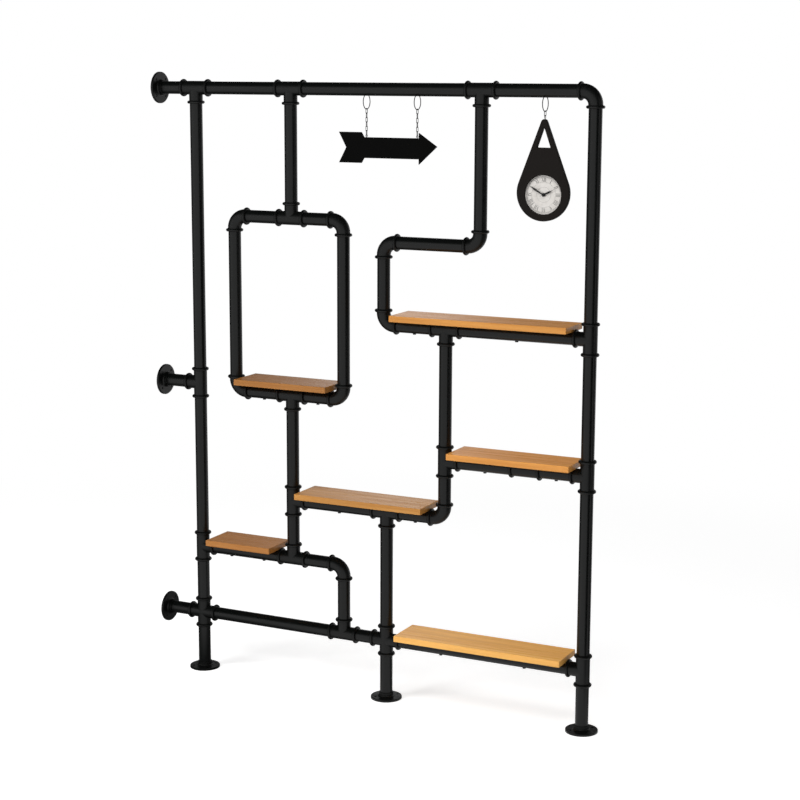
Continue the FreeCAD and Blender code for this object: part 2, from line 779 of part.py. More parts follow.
def bow(name, rise, turn):
    thing = primitive("Torus", name, at=("0", "0", rise), turn=turn,
                      Radius1=BOW_RADIUS, Radius2="link_wire / 2")
    thing.Angle3 = 180
    return thing


link = fuse("chain_link", [
    bow("link_top_bow", BOW_OFFSET, Rotation(Vector(1, 0, 0), 90)),
    bow("link_low_bow", f"-{BOW_OFFSET}", Rotation(Vector(1, 0, 0), -90)),
] + [
    primitive("Cylinder", f"link_{side}_side", at=(f"{sign}{BOW_RADIUS}", "0", f"-{BOW_OFFSET}"),
              Radius="link_wire / 2", Height=f"2 * {BOW_OFFSET}")
    for side, sign in (("left", "-"), ("right", ""))
])
FIRST_LINK = f"{RING_CENTRE} - ring_radius + ring_wire / 2 + link_gap - link_length / 2"
LINK_PITCH = "(link_length - link_gap)"


def chain_links(name, column, first, last):
    return [
        copy_of(link, f"{name}_{number}", at=(column, "0", f"{FIRST_LINK} - {LINK_PITCH} * {number}"),
                turn=QUARTER if number % 2 else ALONG_Z)
        for number in range(first, last)
    ]


LINK_COUNT = round(SIZES["link_count"])
node("sign_top_links", [piece for side, column in SIGN_COLUMNS.items()
                        for piece in chain_links(f"{side}_top_link", column, 0, 1)])
for side, column in SIGN_COLUMNS.items():
    node(f"{side}_chain", chain_links(f"{side}_link", column, 1, LINK_COUNT))
node("clock_link", chain_links("clock_top_link", CLOCK_X, 0, 1))


# Screw eyes: a wire eye on a stem that is screwed into the edge of the sign or the top of the clock.
# The eye's top lies in the lower bow of the last link, square to it.

def screw_eye(name, radius, last_link):
    stem = "(eye_wire / 2 + eye_lift + eye_stem_depth)"
    return fuse(name, [
        primitive("Torus", f"{name}_loop", turn=ALONG_Y if last_link % 2 else ALONG_X,
                  Radius1=radius, Radius2="eye_wire / 2"),
        primitive("Cylinder", f"{name}_stem", at=("0", "0", f"-{radius} - {stem}"),
                  Radius="eye_wire / 2", Height=stem),
    ])


def eye_centre(last_link, radius):
    link_low = f"{FIRST_LINK} - {LINK_PITCH} * {last_link} - link_length / 2"
    return f"{link_low} + link_gap + eye_wire / 2 - {radius}"


def eye_hole(name, column, edge):
    depth = "(eye_stem_depth + eye_end_gap)"
    return primitive("Cylinder", name, at=(column, "0", f"{edge} - {depth}"),
                     Radius="eye_wire / 2 + fit_gap", Height=f"{depth} + overrun")


SIGN_EYE = eye_centre(LINK_COUNT - 1, "sign_eye_radius")
CLOCK_EYE = eye_centre(0, "clock_eye_radius")
SIGN_TOP = f"{SIGN_EYE} - sign_eye_radius - eye_wire / 2 - eye_lift"
CLOCK_TOP = f"{CLOCK_EYE} - clock_eye_radius - eye_wire / 2 - eye_lift"

# Arrow sign: a flat plate with a notched tail and a pointed head, hung by its shaft's top edge
tail_end = "-sign_overhang"
tail_rise = "(tail_height - shaft_height) / 2"
shaft_start = f"{tail_end} + tail_length + tail_slope"
head_start = f"{tail_end} + sign_length - head_length"
head_rise = "(head_height - shaft_height) / 2"
arrow = padded("arrow_plate", "XZ_Plane", [
    (tail_end, tail_rise),
    (f"{tail_end} + tail_length", tail_rise),
    (shaft_start, "0"),
    (head_start, "0"),
    (head_start, head_rise),
    (f"{tail_end} + sign_length", "-shaft_height / 2 + tip_rise"),
    (head_start, f"-shaft_height - {head_rise}"),
    (head_start, "-shaft_height"),
    (shaft_start, "-shaft_height"),
    (f"{tail_end} + tail_length", f"-shaft_height - {tail_rise}"),
    (tail_end, f"-shaft_height - {tail_rise}"),
    (f"{tail_end} + tail_notch", "-shaft_height / 2"),
], "sign_thickness")
place(arrow, ("sign_ring_x", "0", SIGN_TOP))
node("arrow_sign", [cut("arrow_drilled", arrow, [
    eye_hole(f"{side}_sign_eye_hole", column, SIGN_TOP) for side, column in SIGN_COLUMNS.items()])])
sign_eye = screw_eye("sign_eye", "sign_eye_radius", LINK_COUNT - 1)
node("sign_eyes", [copy_of(sign_eye, f"{side}_sign_eye", at=(column, "0", SIGN_EYE))
                   for side, column in SIGN_COLUMNS.items()])

# Clock plate: a drop with a round opening for the dial and a triangular hand hold under its tip
HANDS_Z = f"{CLOCK_TOP} - plate_height"
plate = doc.addObject("PartDesign::Body", "drop_plate")


def drop_outline(body):
    """Bowl and tip arcs joined by two tangent sides."""
    sketch = sketch_on(body, "drop_outline", "XZ_Plane")
    bowl, tip = value("plate_bowl_radius"), value("plate_tip_radius")
    bowl_at = Vector(0, value("plate_bowl_lift"), 0)
    tip_at = Vector(0, value("plate_height - plate_tip_radius"), 0)
    slant = math.asin((bowl - tip) / (tip_at - bowl_at).Length)
    up = Vector(0, 0, 1)
    bowl_circle = Part.Circle(bowl_at, up, bowl)
    bowl_arc = sketch.addGeometry(Part.ArcOfCircle(bowl_circle, math.pi - slant, math.tau + slant))
    tip_arc = sketch.addGeometry(Part.ArcOfCircle(Part.Circle(tip_at, up, tip), slant, math.pi - slant))
    side = Vector(math.cos(slant), math.sin(slant), 0)
    other = Vector(-side.x, side.y, 0)
    right = sketch.addGeometry(Part.LineSegment(bowl_at + side * bowl, tip_at + side * tip))
    left = sketch.addGeometry(Part.LineSegment(tip_at + other * tip, bowl_at + other * bowl))
    for arc, radius, rise in ((bowl_arc, "plate_bowl_radius", "plate_bowl_lift"),
                              (tip_arc, "plate_tip_radius", "plate_height - plate_tip_radius")):
        sketch.addConstraint(Sketcher.Constraint("PointOnObject", arc, 3, -2))
        constrain(sketch, rise, "DistanceY", -1, 1, arc, 3)
        constrain(sketch, radius, "Radius", arc)
    for first, end, second, start in ((bowl_arc, 2, right, 1), (right, 2, tip_arc, 1),
                                      (tip_arc, 2, left, 1), (left, 2, bowl_arc, 1)):
        sketch.addConstraint(Sketcher.Constraint("Tangent", first, end, second, start))
    return sketch


pad(plate, drop_outline(plate), "plate_thickness")
hand_hold_corners = [
    ("0", "plate_height - hand_hold_drop"),
    ("-hand_hold_base / 2", "plate_height - hand_hold_drop - hand_hold_height"),
    ("hand_hold_base / 2", "plate_height - hand_hold_drop - hand_hold_height"),
]
pocket(plate, polygon(plate, "hand_hold", "XZ_Plane", hand_hold_corners))
rounded(plate, "hand_hold_rounds", "hand_hold_round",
        lambda edge: any(lies_at(edge, "X", across) and lies_at(edge, "Z", up)
                         for across, up in hand_hold_corners))
rounded(plate, "plate_arris", "plate_edge_round", lambda edge: lies_at(edge, "Y", "-plate_thickness / 2"))
opening_sketch = sketch_on(plate, "dial_opening", "XZ_Plane")
opening_sketch.addGeometry(Part.Circle(Vector(), Vector(0, 0, 1), value("plate_opening / 2")))
opening_sketch.addConstraint(Sketcher.Constraint("Coincident", 0, 3, -1, 1))
constrain(opening_sketch, "plate_opening", "Diameter", 0)
pocket(plate, opening_sketch)
PLATE_BACK = "(plate_thickness - plate_front)"
place(plate, (CLOCK_X, "plate_thickness / 2 - plate_front", HANDS_Z))

# Small pan-head screws that hold the drum's rim to the back of the plate
drum_screw = turned("drum_screw", [
    ("0", "0"),
    ("drum_screw_od / 2", "0"),
    ("drum_screw_od / 2", "drum_screw_bite + drum_rim_thickness"),
    ("drum_screw_head_od / 2", "drum_screw_bite + drum_rim_thickness"),
    ("drum_screw_head_od / 2", "drum_screw_bite + drum_rim_thickness + drum_screw_head_height"),
    ("0", "drum_screw_bite + drum_rim_thickness + drum_screw_head_height"),
])


def drum_screw_place(index):
    """A place on the drum screws' circle, half a step round from the level line through the hands' axis."""
    turn = f"(360 deg / drum_screw_count * ({index} + 1 / 2))"
    return (f"{CLOCK_X} + drum_screw_pcd / 2 * cos{turn}", f"{PLATE_BACK} - drum_screw_bite",
            f"{HANDS_Z} + drum_screw_pcd / 2 * sin{turn}")


drum_screw_places = [drum_screw_place(index) for index in range(round(SIZES["drum_screw_count"]))]
node("drum_screws", [copy_of(drum_screw, f"drum_screw_{index}", at=spot, turn=ALONG_Y)
                     for index, spot in enumerate(drum_screw_places)])
drum_screw_ways = [
    primitive("Cylinder", f"drum_screw_way_{index}", at=spot, turn=ALONG_Y,
              Radius="drum_screw_od / 2 + fit_gap", Height="drum_screw_bite + drum_rim_thickness + overrun")
    for index, spot in enumerate(drum_screw_places)
]
clock_eye_hole = eye_hole("clock_eye_hole", CLOCK_X, CLOCK_TOP)
node("clock_plate", [cut("plate_drilled", plate, [clock_eye_hole] + drum_screw_ways)])
node("clock_eye", [place(screw_eye("clock_eye_wire", "clock_eye_radius", 0), (CLOCK_X, "0", CLOCK_EYE))])

# Drum: a turned band with a rim against the plate, whose inner lip closes the back of the dial's opening
DRUM_BORE = "(plate_opening / 2 - drum_lip)"
drum = turned("drum_band", [
    (DRUM_BORE, "0"),
    ("drum_rim_od / 2", "0"),
    ("drum_rim_od / 2", "drum_rim_thickness"),
    (f"{DRUM_BORE} + drum_wall", "drum_rim_thickness"),
    (f"{DRUM_BORE} + drum_wall", "drum_depth"),
    (DRUM_BORE, "drum_depth"),
])
place(drum, (CLOCK_X, PLATE_BACK, HANDS_Z), ALONG_Y)
node("clock_drum", [cut("drum_drilled", drum, drum_screw_ways)])


# Dial: a thin printed disc in the plate's opening, on a backing disc that rests on the drum's lip and carries
# the movement

def holed_disc(name, edge_gap, thickness, front):
    """A disc in the plate's opening with a hole for the bush."""
    disc = turned(f"{name}_disc", [
        ("bush_od / 2 + fit_gap", "0"),
        (f"plate_opening / 2 - {edge_gap}", "0"),
        (f"plate_opening / 2 - {edge_gap}", thickness),
        ("bush_od / 2 + fit_gap", thickness),
    ])
    node(name, [place(disc, (CLOCK_X, front, HANDS_Z), ALONG_Y)])


DIAL_FRONT = f"({PLATE_BACK} - backing_thickness - dial_thickness)"
holed_disc("dial", "dial_gap", "dial_thickness", DIAL_FRONT)
holed_disc("dial_backing", "fit_gap", "backing_thickness", f"{DIAL_FRONT} + dial_thickness")

# Centre nut: a hexagon on the bush that clamps dial and backing against the movement
nut_blank = primitive("Prism", "nut_blank", Circumradius="nut_width / sqrt(3)", Height="nut_thickness")
nut_way = primitive("Cylinder", "nut_way", at=("0", "0", "-overrun"),
                    Radius="bush_od / 2 + fit_gap", Height="nut_thickness + 2 * overrun")
nut = cut("nut", nut_blank, [nut_way])
node("centre_nut", [place(nut, (CLOCK_X, f"{DIAL_FRONT} - nut_thickness", HANDS_Z), ALONG_Y)])

# Movement: a moulded case with a bush for the arbors, a bay for one cell and a setting knob at the back
CASE_FRONT = f"({DIAL_FRONT} + dial_thickness + backing_thickness)"
BUSH_FRONT = f"({DIAL_FRONT} - bush_proud)"
HOUR_OD = "(second_arbor_od + 4 * arbor_wall + 4 * fit_gap)"
MINUTE_OD = "(second_arbor_od + 2 * arbor_wall + 2 * fit_gap)"
CELL_Y = f"({CASE_FRONT} + case_depth - cell_od / 2)"
CELL_Z = f"({HANDS_Z} - case_drop + bay_margin + cell_gap + cell_od / 2)"
KNOB_X = f"({CLOCK_X} + knob_side)"
KNOB_Z = f"({HANDS_Z} + knob_rise)"
CASE_BACK = f"({CASE_FRONT} + case_depth)"
case_blank = fuse("case_blank", [
    primitive("Box", "case_block", at=(f"{CLOCK_X} - case_width / 2", CASE_FRONT, f"{HANDS_Z} - case_drop"),
              Length="case_width", Width="case_depth", Height="case_height"),
    primitive("Cylinder", "case_bush", at=(CLOCK_X, BUSH_FRONT, HANDS_Z), turn=ALONG_Y,
              Radius="bush_od / 2", Height=f"{CASE_FRONT} - {BUSH_FRONT} + case_floor"),
])
node("movement_case", [cut("case_cut", case_blank, [
    primitive("Cylinder", "arbor_way", at=(CLOCK_X, f"{BUSH_FRONT} - overrun", HANDS_Z), turn=ALONG_Y,
              Radius=f"{HOUR_OD} / 2 + fit_gap", Height="arbor_depth + 2 * overrun"),
    primitive("Box", "cell_bay",
              at=(f"{CLOCK_X} - cell_length / 2 - cell_nub_length - cell_gap",
                  f"{CELL_Y} - cell_od / 2 - cell_gap / 2", f"{CELL_Z} - cell_od / 2 - cell_gap"),
              Length="cell_length + 2 * cell_nub_length + 2 * cell_gap", Width="cell_od + overrun",
              Height="cell_od + 2 * cell_gap"),
    primitive("Cylinder", "knob_way", at=(KNOB_X, f"{CASE_BACK} - knob_stem_depth - knob_gap", KNOB_Z),
              turn=ALONG_Y, Radius="knob_stem_od / 2 + fit_gap",
              Height="knob_stem_depth + knob_gap + overrun"),
])])
node("cell", [fuse("cell_can", [
    primitive("Cylinder", "cell_body", at=(f"{CLOCK_X} - cell_length / 2", CELL_Y, CELL_Z), turn=ALONG_X,
              Radius="cell_od / 2", Height="cell_length"),
    primitive("Cylinder", "cell_nub", at=(CLOCK_X, CELL_Y, CELL_Z), turn=ALONG_X,
              Radius="cell_nub_od / 2", Height="cell_length / 2 + cell_nub_length"),
])])
knob = turned("knob_wheel", [
    ("0", "0"),
    ("knob_stem_od / 2", "0"),
    ("knob_stem_od / 2", "knob_stem_depth + knob_gap"),
    ("knob_od / 2", "knob_stem_depth + knob_gap"),
    ("knob_od / 2", "knob_stem_depth + knob_gap + knob_height"),
    ("0", "knob_stem_depth + knob_gap + knob_height"),
])
node("setting_knob", [place(knob, (KNOB_X, f"{CASE_BACK} - knob_stem_depth", KNOB_Z), ALONG_Y)])


# Hands: each is a flat leaf with a round hub, pressed on an arbor that runs back into the bush
def hand(name, front, arbor_od, arbor_bore, angle, tail="0"):
    size = name.split("_")[0]
    belly = f"{size}_hand_belly / 2"
    reach = f"{size}_hand_length"
    leaf = padded(f"{name}_leaf", "XZ_Plane", [
        (f"-{belly} / 2", f"-({tail})"),
        (f"{belly} / 2", f"-({tail})"),
        (belly, f"{reach} * {BELLY_SHARE}"),
        ("0", reach),
        (f"-{belly}", f"{reach} * {BELLY_SHARE}"),
    ], "hand_thickness")
    hub = primitive("Cylinder", f"{name}_hub", at=("0", "-hand_thickness / 2", "0"), turn=ALONG_Y,
                    Radius=f"{size}_hub_od / 2", Height="hand_thickness")
    arbor = primitive("Cylinder", f"{name}_arbor", at=("0", "-hand_thickness / 2", "0"), turn=ALONG_Y,
                      Radius=f"{arbor_od} / 2", Height=f"{BUSH_FRONT} + arbor_depth - {front}")
    thing = fuse(f"{name}_blank", [leaf, hub, arbor])
    if arbor_bore:
        way = primitive("Cylinder", f"{name}_way", at=("0", "-hand_thickness / 2 - overrun", "0"),
                        turn=ALONG_Y, Radius=f"{arbor_bore} / 2 + fit_gap",
                        Height=f"{BUSH_FRONT} + arbor_depth - {front} + 2 * overrun")
        thing = cut(f"{name}_bored", thing, [way])
    place(thing, (CLOCK_X, f"{front} + hand_thickness / 2", HANDS_Z), Rotation(Vector(0, 1, 0), value(angle)))
    thing.setExpression("Placement.Rotation.Angle", bound(angle))
    node(name, [thing])


HOUR_FRONT = f"({BUSH_FRONT} - hand_gap - hand_thickness)"
MINUTE_FRONT = f"({BUSH_FRONT} - 2 * hand_gap - 2 * hand_thickness)"
SECOND_FRONT = f"({BUSH_FRONT} - 3 * hand_gap - 3 * hand_thickness)"
hand("hour_hand", HOUR_FRONT, HOUR_OD, MINUTE_OD, "(shown_hour + shown_minute / 60) * 360 / 12 + hour_hand_lead")
hand("minute_hand", MINUTE_FRONT, MINUTE_OD, "second_arbor_od", "shown_minute * 360 / 60")
hand("second_hand", SECOND_FRONT, "second_arbor_od", "", "shown_second * 360 / 60", tail="second_hand_tail")

doc.recompute()
failed = [thing.Name for thing in doc.Objects if {"Invalid", "Error"} & set(thing.State)]
if failed:
    raise RuntimeError(f"these did not build: {failed}")
for thing in nodes:
    if thing.Shape.isNull() or not thing.Shape.isValid() or not thing.Shape.Solids:
        raise RuntimeError(f"{thing.Label} has no valid solid")
    if len(thing.Shape.Solids) != len(thing.Links):
        raise RuntimeError(f"{thing.Label} is in {len(thing.Shape.Solids)} solids, not {len(thing.Links)}")

os.makedirs("parts", exist_ok=True)
for thing in nodes:
    thing.Shape.exportStep(os.path.join("parts", f"{thing.Label}.step"))
print(f"{len(nodes)} nodes, {sum(len(thing.Shape.Solids) for thing in nodes)} solids")
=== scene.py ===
import math

import bmesh
import bpy
from mathutils import Matrix, Vector


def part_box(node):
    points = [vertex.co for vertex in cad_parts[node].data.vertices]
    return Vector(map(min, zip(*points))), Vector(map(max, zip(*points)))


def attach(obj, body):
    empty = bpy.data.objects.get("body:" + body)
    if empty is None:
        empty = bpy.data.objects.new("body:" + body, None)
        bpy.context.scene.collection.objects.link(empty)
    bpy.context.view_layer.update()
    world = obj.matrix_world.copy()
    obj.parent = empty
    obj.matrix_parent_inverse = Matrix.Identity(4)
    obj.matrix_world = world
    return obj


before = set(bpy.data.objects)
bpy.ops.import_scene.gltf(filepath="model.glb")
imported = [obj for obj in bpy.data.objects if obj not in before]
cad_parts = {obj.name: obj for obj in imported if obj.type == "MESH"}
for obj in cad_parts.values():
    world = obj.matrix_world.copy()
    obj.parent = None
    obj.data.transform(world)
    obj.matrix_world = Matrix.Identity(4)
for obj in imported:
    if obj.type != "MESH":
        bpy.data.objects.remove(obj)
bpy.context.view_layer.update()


# Pipes of the frame: drawn steel tube of one size, cut to length and sprayed satin black before assembly.
# The paint film has a faint orange peel. On the sides that look up it is painted lighter, partly a trace of
# dust and partly a painted sheen.
def new_group(name, inputs, outputs):
    """A shader group with named sockets, given as pairs of name and kind or, for inputs, a default too."""
    tree = bpy.data.node_groups.new(name, "ShaderNodeTree")
    for label, kind, default in inputs:
        socket = tree.interface.new_socket(label, in_out="INPUT", socket_type=f"NodeSocket{kind}")
        socket.default_value = default
    for label, kind in outputs:
        tree.interface.new_socket(label, in_out="OUTPUT", socket_type=f"NodeSocket{kind}")
    return tree, tree.nodes.new("NodeGroupInput"), tree.nodes.new("NodeGroupOutput")


def add_noise(tree, coordinates, stretch, detail=3.0, roughness=0.5, distortion=0.0):
    """Noise in object space, stretched by cycles per metre along X, Y and Z."""
    scaling = tree.nodes.new("ShaderNodeVectorMath")
    scaling.operation = "MULTIPLY"
    scaling.inputs[1].default_value = stretch
    noise = tree.nodes.new("ShaderNodeTexNoise")
    noise.inputs["Scale"].default_value = 1.0
    noise.inputs["Detail"].default_value = detail
    noise.inputs["Roughness"].default_value = roughness
    noise.inputs["Distortion"].default_value = distortion
    tree.links.new(coordinates, scaling.inputs[0])
    tree.links.new(scaling.outputs["Vector"], noise.inputs["Vector"])
    return noise.outputs["Fac"]


def add_range(tree, value, start, end, low, high):
    """A value taken from one range to another, held inside it. Ends may be numbers or sockets."""
    ranging = tree.nodes.new("ShaderNodeMapRange")
    ranging.interpolation_type = "SMOOTHSTEP"
    tree.links.new(value, ranging.inputs["Value"])
    for label, end_value in zip(("From Min", "From Max", "To Min", "To Max"), (start, end, low, high)):
        if isinstance(end_value, bpy.types.NodeSocket):
            tree.links.new(end_value, ranging.inputs[label])
        else:
            ranging.inputs[label].default_value = end_value
    return ranging.outputs["Result"]


def add_math(tree, operation, first, second):
    maths = tree.nodes.new("ShaderNodeMath")
    maths.operation = operation
    for index, term in enumerate((first, second)):
        if isinstance(term, bpy.types.NodeSocket):
            tree.links.new(term, maths.inputs[index])
        else:
            maths.inputs[index].default_value = term
    return maths.outputs["Value"]


def add_mix(tree, factor, first, second, blend="MIX"):
    """A mix of two colours, each a socket or a plain colour."""
    mix = tree.nodes.new("ShaderNodeMix")
    mix.data_type = "RGBA"
    mix.blend_type = blend
    colour_inputs = [socket for socket in mix.inputs if socket.type == "RGBA"]
    if isinstance(factor, bpy.types.NodeSocket):
        tree.links.new(factor, mix.inputs["Factor"])
    else:
        mix.inputs["Factor"].default_value = factor
    for socket, colour in zip(colour_inputs, (first, second)):
        if isinstance(colour, bpy.types.NodeSocket):
            tree.links.new(colour, socket)
        else:
            socket.default_value = colour
    return next(socket for socket in mix.outputs if socket.type == "RGBA")


def object_coordinates(tree):
    return tree.nodes.new("ShaderNodeTexCoord").outputs["Object"]


paint_film, film_in, film_out = new_group(
    "paint_film",
    [("Paint", "Color", (0.004, 0.004, 0.004, 1.0)), ("Dust", "Color", (0.006, 0.006, 0.006, 1.0)),
     ("Smooth", "Float", 0.4), ("Rough", "Float", 0.55), ("Grit", "Float", 1.0)],
    [("Colour", "Color"), ("Roughness", "Float"), ("Height", "Float")])
mottle_cycles = (14.0, 14.0, 14.0)
peel_cycles = (900.0, 900.0, 900.0)
grain_cycles = (350.0, 350.0, 350.0)
dust_and_sheen_start, most_dust_and_sheen = 0.75, 0.5
mottle_tint = 0.12
spots = object_coordinates(paint_film)
mottle = add_noise(paint_film, spots, mottle_cycles, detail=4.0)
peel = add_noise(paint_film, spots, peel_cycles, detail=2.0)
grains = add_noise(paint_film, spots, grain_cycles, detail=5.0, roughness=0.7)
facing = paint_film.nodes.new("ShaderNodeSeparateXYZ")
surface = paint_film.nodes.new("ShaderNodeNewGeometry")
paint_film.links.new(surface.outputs["Normal"], facing.inputs["Vector"])
# Sides that look up are painted lighter towards the dust colour: partly dust, partly a painted sheen.
looks_up = add_range(paint_film, facing.outputs["Z"], dust_and_sheen_start, 1.0, 0.0, most_dust_and_sheen)
dust_and_sheen_mask = add_math(paint_film, "MULTIPLY", looks_up, add_range(paint_film, grains, 0.35, 0.7, 0.2, 1.0))
uneven = add_mix(paint_film, add_range(paint_film, mottle, 0.3, 0.7, 0.0, mottle_tint),
                 film_in.outputs["Paint"], film_in.outputs["Dust"])
dusty_and_sheened = add_mix(paint_film, dust_and_sheen_mask, uneven, film_in.outputs["Dust"])
paint_film.links.new(dusty_and_sheened, film_out.inputs["Colour"])
paint_film.links.new(
    add_range(paint_film, mottle, 0.25, 0.75, film_in.outputs["Smooth"], film_in.outputs["Rough"]),
    film_out.inputs["Roughness"])
paint_film.links.new(
    add_math(paint_film, "MULTIPLY", add_math(paint_film, "ADD", peel, grains), film_in.outputs["Grit"]),
    film_out.inputs["Height"])


def new_material(name):
    material = bpy.data.materials.new(name)
    material.use_nodes = True
    return material, material.node_tree, material.node_tree.nodes["Principled BSDF"]


def place_group(tree, shader, group, bump_height, **values):
    """Puts a group in a material and joins its colour, roughness and height to the shader."""
    placed = tree.nodes.new("ShaderNodeGroup")
    placed.node_tree = group
    for label, setting in values.items():
        placed.inputs[label].default_value = setting
    bump = tree.nodes.new("ShaderNodeBump")
    bump.inputs["Distance"].default_value = bump_height
    tree.links.new(placed.outputs["Colour"], shader.inputs["Base Color"])
    tree.links.new(placed.outputs["Roughness"], shader.inputs["Roughness"])
    tree.links.new(placed.outputs["Height"], bump.inputs["Height"])
    tree.links.new(bump.outputs["Normal"], shader.inputs["Normal"])


def painted(name, bump_height, specular, **film):
    material, tree, shader = new_material(name)
    shader.inputs["Specular IOR Level"].default_value = specular
    place_group(tree, shader, paint_film, bump_height, **film)
    return material


def dress(material, *nodes):
    for name in nodes:
        for material_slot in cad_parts[name].material_slots:
            material_slot.material = material


pipe_paint = painted("pipe_satin_black", bump_height=0.00003, specular=0.28,
                     Paint=(0.0024, 0.0029, 0.0027, 1.0), Smooth=0.24, Rough=0.32, Grit=0.5)
dress(pipe_paint, "left_post_pipes", "wall_nipples", "right_post_pipes", "middle_post_pipes",
      "top_rail_pipes", "low_rail_pipes", "loop_pipes", "drop_post_pipes", "centre_rail_pipes",
      "left_step_pipes", "double_bend_pipes", "right_rail_pipes")

# Fittings and flanges: malleable iron castings with beaded collars, screwed on the pipes' ends.
# The same black paint lies over a slightly grainy cast skin.
fitting_paint = painted("fitting_satin_black", bump_height=0.00008, specular=0.28,
                        Paint=(0.0024, 0.0028, 0.0026, 1.0), Smooth=0.32, Rough=0.44, Grit=1.0)
dress(fitting_paint, "top_rail_tees", "left_post_tees", "right_post_tees", "loop_tees", "drop_post_tees",
      "shelf_rail_tees", "low_rail_tee", "low_rail_crosses", "top_corner_elbow", "loop_elbows",
      "double_bend_elbows", "step_elbows", "right_rail_coupling", "left_floor_flange", "middle_floor_flange",
      "right_floor_flange", "top_wall_flange", "middle_wall_flange", "bottom_wall_flange")

# Boards: planed and oiled strips of warm brown hardwood, cut along the grain, one on each shelf rail.
# Each comes from another part of the tree, so its grain is shifted and its tone differs. Each tone also holds
# painted light and shade, brighter on some boards and darker on others.
straight_grain, grain_in, grain_out = new_group(
    "straight_grain",
    [("Light", "Color", (0.6, 0.34, 0.12, 1.0)), ("Dark", "Color", (0.4, 0.19, 0.06, 1.0)),
     ("Shift", "Vector", (0.0, 0.0, 0.0))],
    [("Colour", "Color"), ("Roughness", "Float"), ("Height", "Float")])
band_cycles, band_share = (1.6, 34.0, 34.0), 0.6
streak_cycles, streak_share = (4.0, 150.0, 150.0), 0.4
fibre_cycles, pore_depth = (22.0, 900.0, 900.0), 0.35
oil_smooth, oil_rough = 0.25, 0.35
shifting = straight_grain.nodes.new("ShaderNodeVectorMath")
shifting.operation = "ADD"
straight_grain.links.new(object_coordinates(straight_grain), shifting.inputs[0])
straight_grain.links.new(grain_in.outputs["Shift"], shifting.inputs[1])
timber = shifting.outputs["Vector"]
bands = add_noise(straight_grain, timber, band_cycles, detail=5.0, roughness=0.6, distortion=0.35)
streaks = add_noise(straight_grain, timber, streak_cycles, detail=4.0, roughness=0.65)
fibres = add_noise(straight_grain, timber, fibre_cycles, detail=2.0)
pores = add_range(straight_grain, fibres, 0.58, 0.70, 0.0, 1.0)
figure = add_math(straight_grain, "ADD", add_math(straight_grain, "MULTIPLY", bands, band_share),
                  add_math(straight_grain, "MULTIPLY", streaks, streak_share))
grained = add_mix(straight_grain, add_range(straight_grain, figure, 0.36, 0.64, 0.0, 1.0),
                  grain_in.outputs["Light"], grain_in.outputs["Dark"])
pored = add_mix(straight_grain, add_math(straight_grain, "MULTIPLY", pores, pore_depth), grained,
                grain_in.outputs["Dark"])
straight_grain.links.new(pored, grain_out.inputs["Colour"])
straight_grain.links.new(add_range(straight_grain, streaks, 0.3, 0.7, oil_smooth, oil_rough),
                         grain_out.inputs["Roughness"])
straight_grain.links.new(add_math(straight_grain, "SUBTRACT", streaks, pores), grain_out.inputs["Height"])


light_wood, dark_wood = (0.70, 0.315, 0.088), (0.55, 0.225, 0.055)
oil_specular = 0.25
grain_height = 0.00005


def oiled(name, tone_and_painted_shade, shift):
    """Oiled wood, tinted in red, green and blue by a tone that is partly its own and partly painted light and
    shade, from its own place in the tree.
    """
    material, tree, shader = new_material(name)
    shader.inputs["Specular IOR Level"].default_value = oil_specular
    light, dark = ((*(tint * part for tint, part in zip(tone_and_painted_shade, colour)), 1.0)
                   for colour in (light_wood, dark_wood))
    place_group(tree, shader, straight_grain, grain_height, Light=light, Dark=dark, Shift=shift)
    return material


# Each board's tone, set one by one, is partly the wood's colour and partly painted light and shade: the low
# board is painted brightest, the loop board darkest.
board_cuts_and_painted_shade = {
    "loop_board": ((0.54, 0.52, 0.48), (0.3, 0.07, 0.02)),
    "centre_board": ((0.82, 0.88, 0.80), (1.1, 0.21, 0.05)),
    "left_board": ((0.62, 0.58, 0.52), (2.3, 0.33, 0.01)),
    "upper_board": ((0.92, 0.93, 0.80), (3.1, 0.48, 0.03)),
    "right_board": ((1.10, 1.10, 0.95), (4.7, 0.59, 0.06)),
    "low_board": ((1.36, 1.60, 1.50), (5.9, 0.75, 0.04)),
}
for board, (tone_and_painted_shade, shift) in board_cuts_and_painted_shade.items():
    dress(oiled(f"{board}_oiled_wood_painted_shade", tone_and_painted_shade, shift), board)

# Screws, rings, chains and eyes: blackened steel screws under the rails and in the drum, and dark steel wire
# bent to shape for all that hangs. Handling leaves a cloudy, dull shine.
cloudy_metal, metal_in, metal_out = new_group(
    "cloudy_metal",
    [("Metal", "Color", (0.4, 0.4, 0.4, 1.0)), ("Tarnish", "Color", (0.2, 0.2, 0.2, 1.0)),
     ("Smooth", "Float", 0.25), ("Rough", "Float", 0.45)],
    [("Colour", "Color"), ("Roughness", "Float"), ("Height", "Float")])
cloud_cycles, most_tarnish = (220.0, 220.0, 220.0), 0.8
scuff_cycles, scuff_height = (2500.0, 2500.0, 2500.0), 0.00001
metal_spots = object_coordinates(cloudy_metal)
clouds = add_noise(cloudy_metal, metal_spots, cloud_cycles, detail=4.0, roughness=0.6)
scuffs = add_noise(cloudy_metal, metal_spots, scuff_cycles, detail=2.0)
tarnished = add_mix(cloudy_metal, add_range(cloudy_metal, clouds, 0.4, 0.7, 0.0, most_tarnish),
                    metal_in.outputs["Metal"], metal_in.outputs["Tarnish"])
cloudy_metal.links.new(tarnished, metal_out.inputs["Colour"])
cloudy_metal.links.new(
    add_range(cloudy_metal, clouds, 0.3, 0.7, metal_in.outputs["Smooth"], metal_in.outputs["Rough"]),
    metal_out.inputs["Roughness"])
cloudy_metal.links.new(scuffs, metal_out.inputs["Height"])


